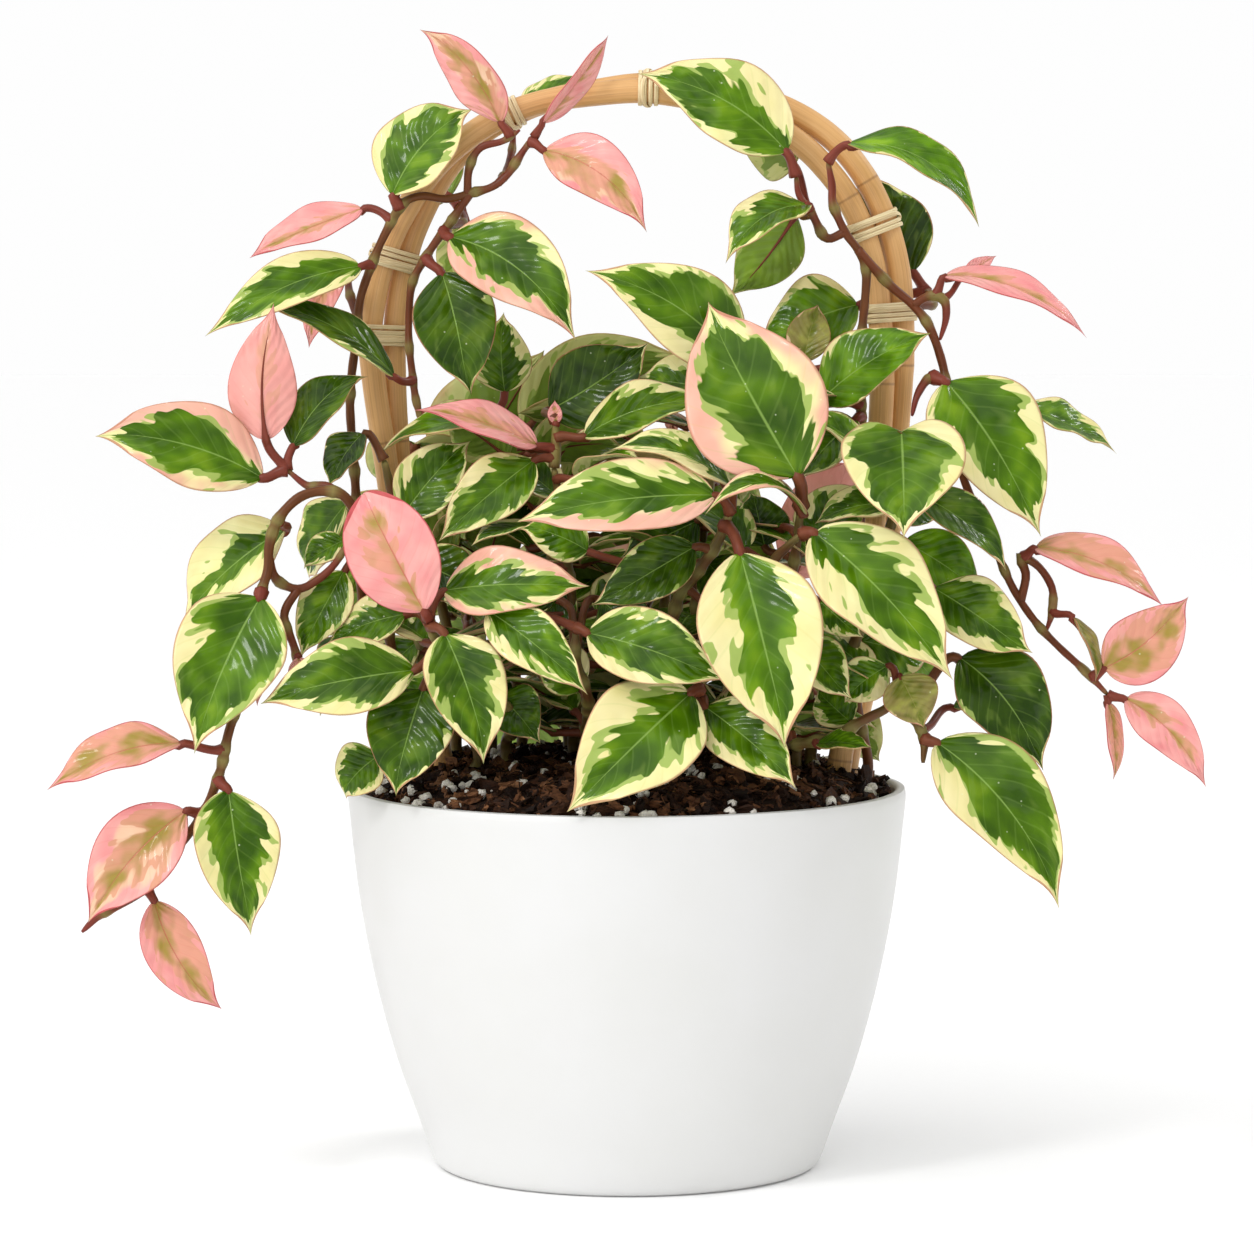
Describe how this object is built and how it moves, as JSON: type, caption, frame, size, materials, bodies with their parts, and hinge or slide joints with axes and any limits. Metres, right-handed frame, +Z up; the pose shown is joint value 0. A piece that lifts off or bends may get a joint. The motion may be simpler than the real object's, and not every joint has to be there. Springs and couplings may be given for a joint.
{
  "type": "potted plant",
  "caption": "Variegated wax plant in a tapered white pot, its vines climbing a bent cane hoop and trailing at both sides",
  "frame": {"origin": "centre of the pot's flat underside, on the surface it stands on", "axes": "+Z up, +X to the viewer's right in the picture's view, -Y towards the viewer"},
  "size_m": [0.3734, 0.2239, 0.3779],
  "materials": {
    "glaze": "satin",
    "soil": "matte",
    "cane": "satin",
    "peel": "matte",
    "foliage": "satin"
  },
  "bodies": {
    "root": {"pot": "glaze", "soil": "soil", "cane_1": "cane", "cane_2": "cane", "tie_left_low": "peel", "tie_left_high": "peel", "tie_top_left": "peel", "tie_top": "peel", "tie_right_high": "peel", "tie_right_low": "peel", "vine_left": "foliage", "vine_trailing": "foliage", "vine_right": "foliage", "spray_top_left": "foliage", "spray_top_mid": "foliage", "spray_centre_high": "foliage", "spray_centre": "foliage", "spray_front_right": "foliage", "spray_left": "foliage", "spray_front_left": "foliage", "spray_front": "foliage", "spray_low_right": "foliage", "spray_right": "foliage", "spray_left_high": "foliage", "back_1": "foliage", "back_2": "foliage", "back_3": "foliage", "back_4": "foliage", "back_5": "foliage", "back_6": "foliage", "back_7": "foliage", "back_8": "foliage", "back_9": "foliage", "back_10": "foliage"}
  },
  "joints": []
}
